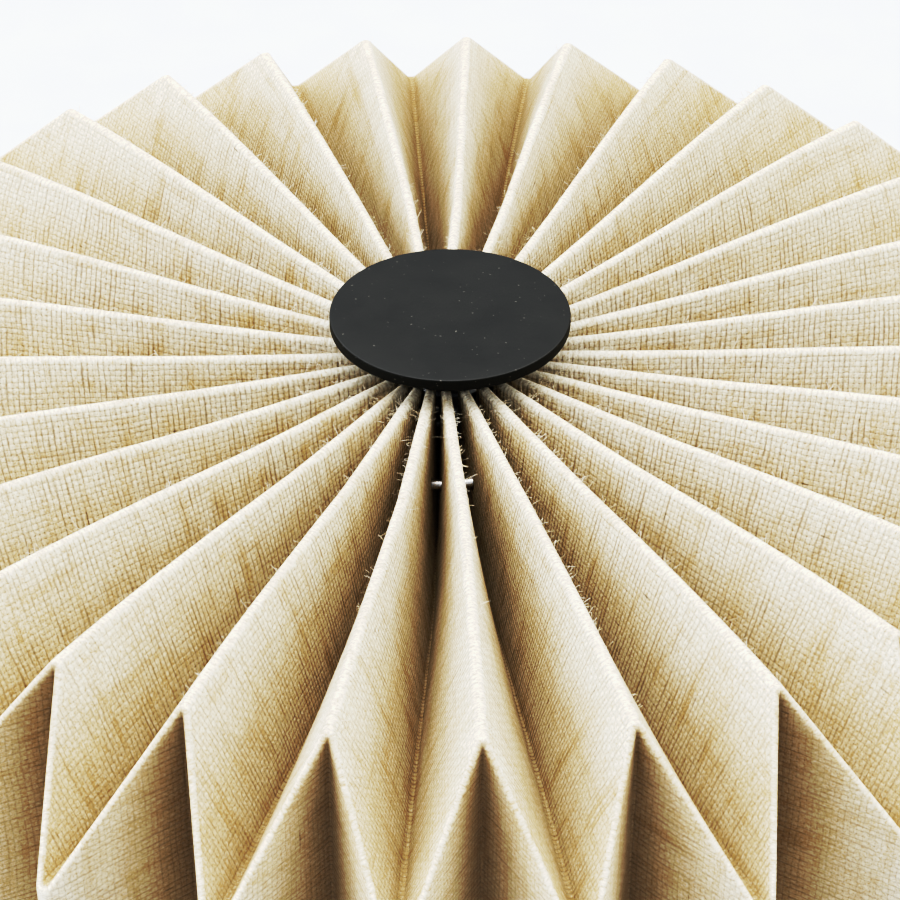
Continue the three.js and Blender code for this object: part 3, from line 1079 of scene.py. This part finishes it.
FIBRES = 6500
FUZZ_SEED = 7
FIBRE_STEPS = 4
FIBRE_LENGTH = (0.6 * MM, 1.9 * MM)
FIBRE_RADIUS = (0.018 * MM, 0.032 * MM)
FIBRE_DROP = 2.2 * MM  # how far below the crest a fibre may start
FIBRE_LIFT = SHEET * 0.35


def make_fuzz(material):
    """Loose fibres that stand off the folds, most of them close to the cap."""
    rng = np.random.default_rng(FUZZ_SEED)
    all_points, all_faces = [], []
    for _ in range(FIBRES):
        ridge = ridge_azimuth(int(rng.integers(PLEATS)))
        share = rng.random() ** (2.0 if rng.random() < 0.6 else 1.0)
        radius = R_CAP * 0.95 + (R_SHOULDER - R_CAP) * share
        side = 1 if rng.random() < 0.5 else -1
        tangent = Vector((math.cos(ridge), math.sin(ridge), 0)) * side
        out = Vector((math.sin(ridge), -math.cos(ridge), 0))
        below = rng.uniform(0.0, 1.0) ** 2 * FIBRE_DROP
        aside = FIBRE_LIFT + below * math.pi * radius / PLEATS / PANEL_WIDTH
        start = Vector(on_circle(radius, ridge, crest_height(radius)).tolist())
        start += Vector((0, 0, FIBRE_LIFT - below)) + tangent * aside
        length = rng.uniform(*FIBRE_LENGTH) * (1 if rng.random() < 0.92 else 1.8)
        heading = tangent * rng.uniform(0.4, 1.0) + out * rng.normal(0, 0.7)
        heading += Vector((0, 0, rng.uniform(0, 0.9)))
        curl = Vector(rng.normal(0, 0.2, 3).tolist()) * 0.35
        path, spot = [start], start.copy()
        heading.normalize()
        for _ in range(FIBRE_STEPS):
            heading = (heading + curl + Vector(rng.normal(0, 0.1, 3).tolist())).normalized()
            spot = spot + heading * length / FIBRE_STEPS
            path.append(spot.copy())
        points, faces = swept(path, rng.uniform(*FIBRE_RADIUS), 3, domed=False)
        base = len(all_points)
        all_points.extend(points)
        all_faces.extend([[base + k for k in face] for face in faces])
    fuzz = make_mesh("linen_fuzz", all_points, all_faces, [material])
    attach(fuzz, "shade")


SEAM_RIDGE = PLEATS - 9
TAPE_ACROSS = (0.36, 0.80)  # its two edges, where 0 is the panel's ridge and 1 its valley
TAPE_COLUMNS = 7
TAPE_SKINS = (0.10 * MM, 0.40 * MM)  # how far its two faces lie from the cloth
TAPE_FIRST_ROW = 6


def make_seam_tape(material):
    """The cotton tape glued over the joint inside, where the strip's two ends meet."""
    ridge, following = ridge_azimuth(SEAM_RIDGE), ridge_azimuth(SEAM_RIDGE + 1)
    top_ridge, wall_ridge = fold_line(ridge, True)
    top_valley, wall_valley = fold_line((ridge + following) / 2, False)
    columns = []
    for share in np.linspace(*TAPE_ACROSS, TAPE_COLUMNS):
        top = top_ridge * (1 - share) + top_valley * share
        wall = wall_ridge * (1 - share) + wall_valley * share
        columns.append(np.concatenate([top[TAPE_FIRST_ROW:], wall[1:-1]]))
    grid = np.stack(columns)
    normal = np.cross(np.gradient(grid, axis=1), np.gradient(grid, axis=0))
    normal /= np.linalg.norm(normal, axis=2)[..., None]
    skins = [grid - normal * (SHEET / 2 + lift) for lift in TAPE_SKINS]
    count, rows = grid.shape[:2]
    points = np.concatenate([skin.reshape(-1, 3) for skin in skins])
    u = np.cumsum(np.r_[0, np.linalg.norm(np.diff(grid[:, -1], axis=0), axis=1)])
    v = np.cumsum(np.r_[0, np.linalg.norm(np.diff(grid[3], axis=0), axis=1)])
    faces, uvs = [], []
    below = count * rows

    def add(corners, base):
        faces.append([base[k] + c * rows + r for k, (c, r) in enumerate(corners)])
        uvs.extend((u[c], v[r]) for c, r in corners)

    for c in range(count - 1):
        for r in range(rows - 1):
            quad = [(c, r), (c, r + 1), (c + 1, r + 1), (c + 1, r)]
            add(quad, (0,) * 4)
            add(quad[::-1], (below,) * 4)
        add([(c, 0), (c + 1, 0), (c + 1, 0), (c, 0)], (0, 0, below, below))
        last = rows - 1
        add([(c, last), (c + 1, last), (c + 1, last), (c, last)][::-1], (below, below, 0, 0))
    for r in range(rows - 1):
        for c, order in ((0, 1), (count - 1, -1)):
            add([(c, r), (c, r + 1), (c, r + 1), (c, r)][::order], ((below, below, 0, 0)[::order]))
    tape = make_mesh("seam_tape_cotton", points, faces, [material], uvs)
    reface(tape)
    fit(tape, "seam_tape", "shade")


# ---------- stage and light


FLOOR_HALF = 6.0


def make_stage():
    """A plain pale paper floor."""
    n = Nodes("paper_floor")
    grain = n.noise(n.place(), 40, 3.0)
    colour = n.mix(n.ramp(grain, 0.3, 0.7), (0.595, 0.605, 0.63, 1), (0.61, 0.62, 0.645, 1))
    n.surface({
        "Base Color": colour,
        "Roughness": 0.9,
        "Specular IOR Level": 0.1,
    })
    corners = [(x * FLOOR_HALF, y * FLOOR_HALF, 0) for x, y in ((-1, -1), (1, -1), (1, 1), (-1, 1))]
    floor = make_mesh("floor", corners, [(0, 1, 2, 3)], [n.owner], smooth=False)


ARCH_EDGE = (0.15, 0.65)  # how far in front of and behind the object the arch begins and has faded out
ARCH_LIGHT = (2.84, 2.87, 2.90, 1)  # a colour times its strength
ROOM_LIGHT = (0.34, 0.365, 0.40, 1)
LEFT_TINT = (1.24, 1.26, 1.30, 1)
RIGHT_TINT = (0.77, 0.745, 0.69, 1)
# brightness in and out: like film, with more contrast in the middle
FILM_CURVE = ((0.02, 0.009), (0.07, 0.055), (0.17, 0.295), (0.32, 0.587), (0.52, 0.756), (0.79, 0.862))
FILM_WHITE = (1.0, 0.96)


def studio_arch():
    """Soft light from an arch of diffusers that runs from the left, overhead, to the right. The light from
    the left and from the room is a little cooler."""
    n = Nodes("studio", bpy.data.worlds)
    bpy.context.scene.world = n.owner
    split = n.add("ShaderNodeSeparateXYZ")
    n.link(n.add("ShaderNodeTexCoord").outputs["Generated"], split.inputs[0])
    off_arch = n.ramp(n.math("ABSOLUTE", split.outputs["Y"]), *ARCH_EDGE)
    to_right = n.ramp(split.outputs["X"], -1.0, 1.0, smooth=False)
    tint = n.mix(to_right, LEFT_TINT, RIGHT_TINT)
    light = n.mix(off_arch, ARCH_LIGHT, ROOM_LIGHT)
    n.link(n.mix(1.0, light, tint, "MULTIPLY"), n.shader.inputs["Color"])


def make_light():
    studio_arch()
    view = bpy.context.scene.view_settings
    view.view_transform = "Standard"
    view.use_curve_mapping = True
    curve = view.curve_mapping.curves[3]
    for bright, shown in FILM_CURVE:
        curve.points.new(bright, shown)
    curve.points[-1].location = FILM_WHITE
    view.curve_mapping.extend = "HORIZONTAL"
    view.curve_mapping.update()


linen = linen_material()
backing = backing_material()
pleats, strip_length, strip_width = make_pleats(linen, backing)
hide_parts("pleated_shade")
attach(pleats, "shade")

steel = metal_material("bright_steel", (0.86, 0.85, 0.83, 1), (0.70, 0.68, 0.65, 1), 0.20, 1400, 0.3)
zinc = metal_material("zinc_plate", (0.42, 0.43, 0.44, 1), (0.30, 0.30, 0.28, 1), 0.38, 900, 0.5)
white = white_coat_material()
black, black_edge = black_coat_material("black_coat", 0.5), black_coat_material("black_cut_edge", 0.1)
make_cap(black, black_edge, felt_material(), steel)
make_gather_ring(steel)
make_hub(zinc, white)
make_carrier(white)
make_seam_tape(tape_material())
make_fuzz(fuzz_material())

make_stage()
make_light()
